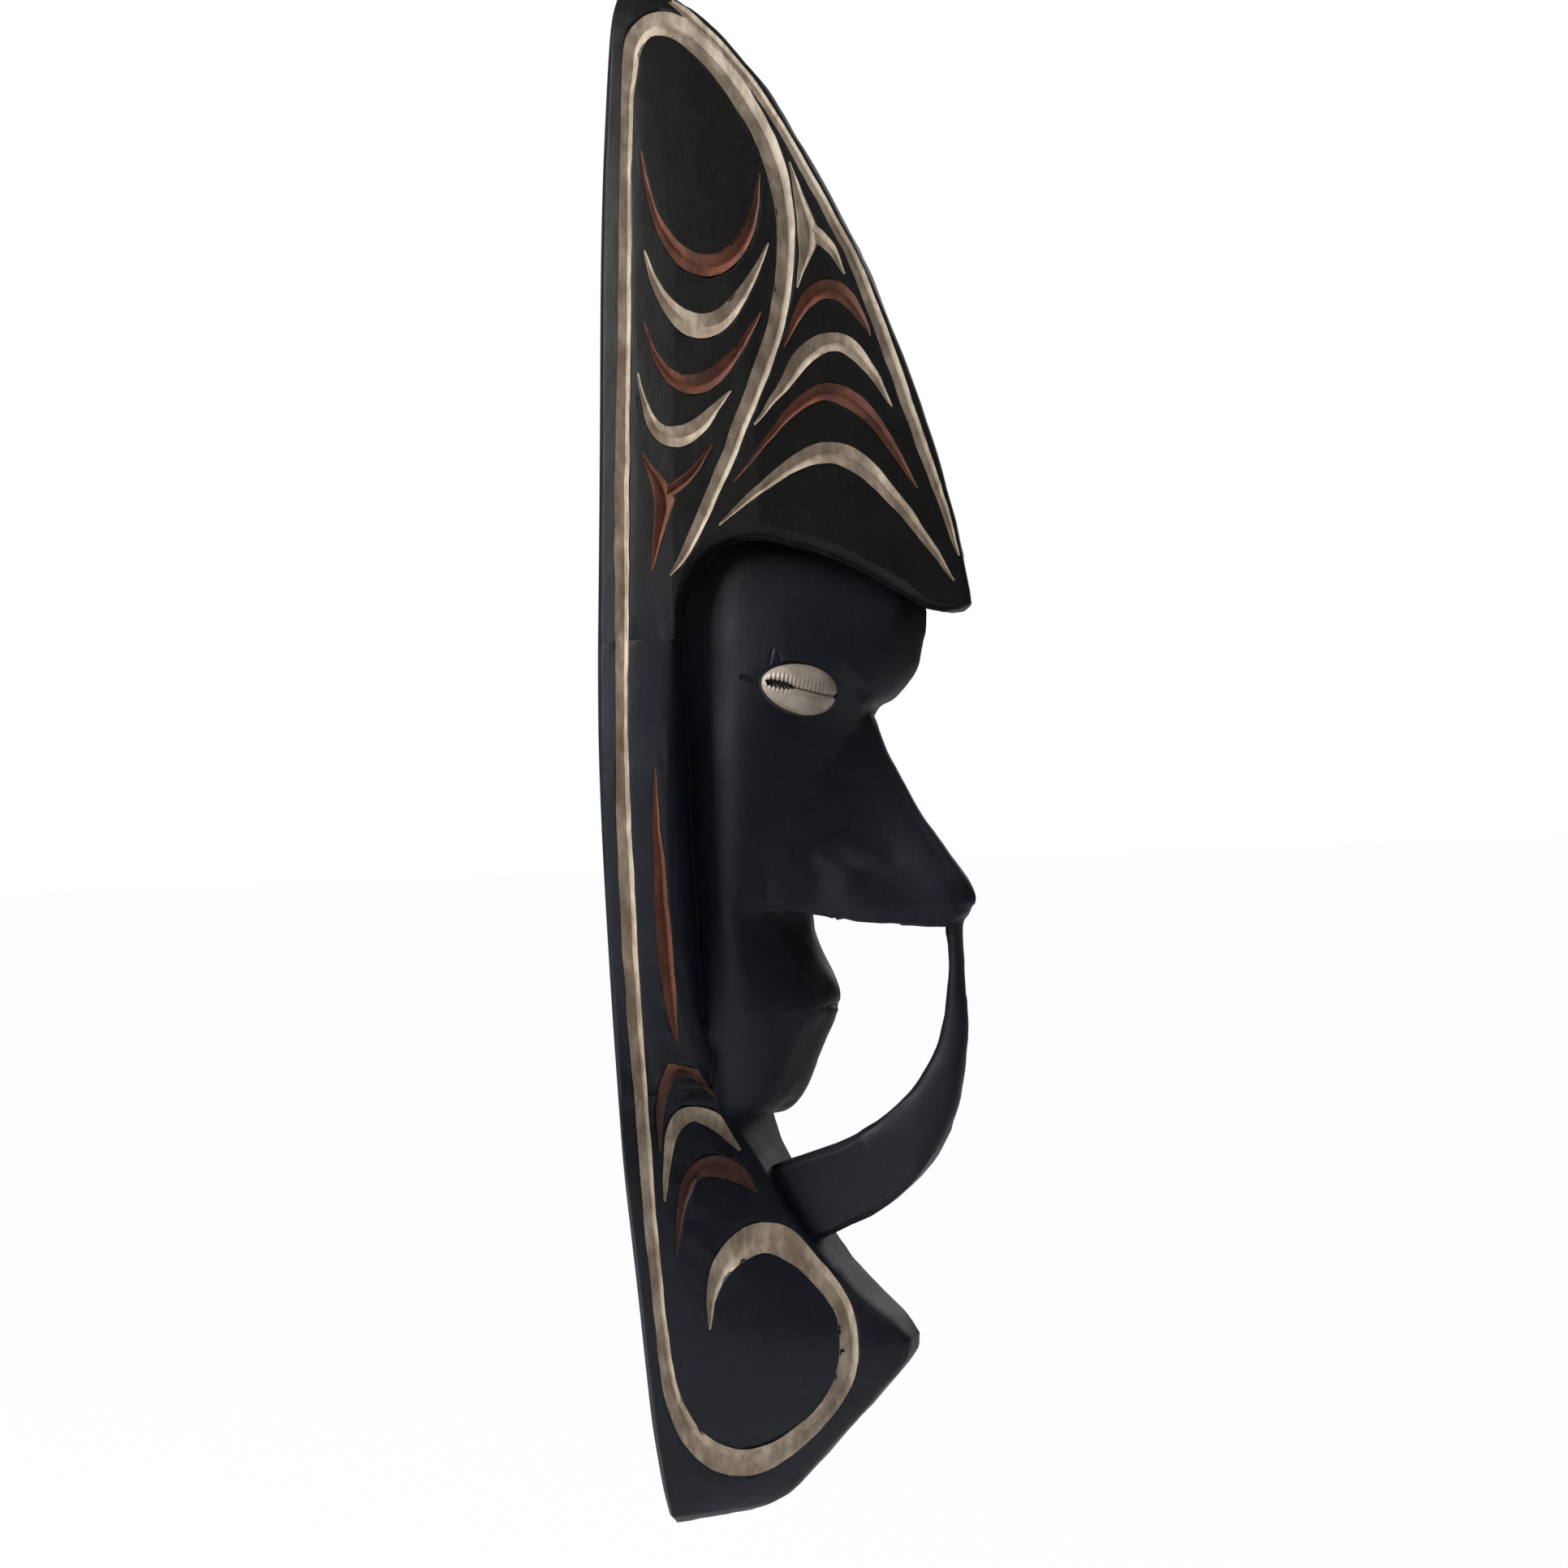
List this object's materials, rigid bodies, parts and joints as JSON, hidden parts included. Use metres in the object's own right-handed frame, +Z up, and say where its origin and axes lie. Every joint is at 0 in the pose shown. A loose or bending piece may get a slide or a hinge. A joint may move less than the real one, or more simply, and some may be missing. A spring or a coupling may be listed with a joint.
{
  "type": "carved wooden mask",
  "caption": "Tall narrow carved wall mask with a curved crest, hooked nose tied to the chest, painted V-cut channels and cowrie eyes.",
  "frame": {"origin": "centre of the nail hole's mouth in the flat back face, high on the mask", "axes": "+Z up along the mask, +Y out of the back towards the wall, so the face looks along -Y; +X is the mask's own left side"},
  "size_m": [0.0768, 0.079, 0.362],
  "materials": {
    "black_wood": "near-black stain, rubbed to a soft sheen",
    "lime_paint": "chalky cream lime paint, matte",
    "ochre_paint": "rust-red earth paint, matte",
    "shell": "polished cowrie shell",
    "gum": "dark resin gum, matte"
  },
  "bodies": {
    "root": {"carved_body": "black_wood", "lime_inlay_left": "lime_paint", "lime_inlay_right": "lime_paint", "ochre_inlay_left": "ochre_paint", "ochre_inlay_right": "ochre_paint", "cowrie_left": "shell", "cowrie_right": "shell", "eye_putty_left": "gum", "eye_putty_right": "gum"}
  },
  "joints": []
}
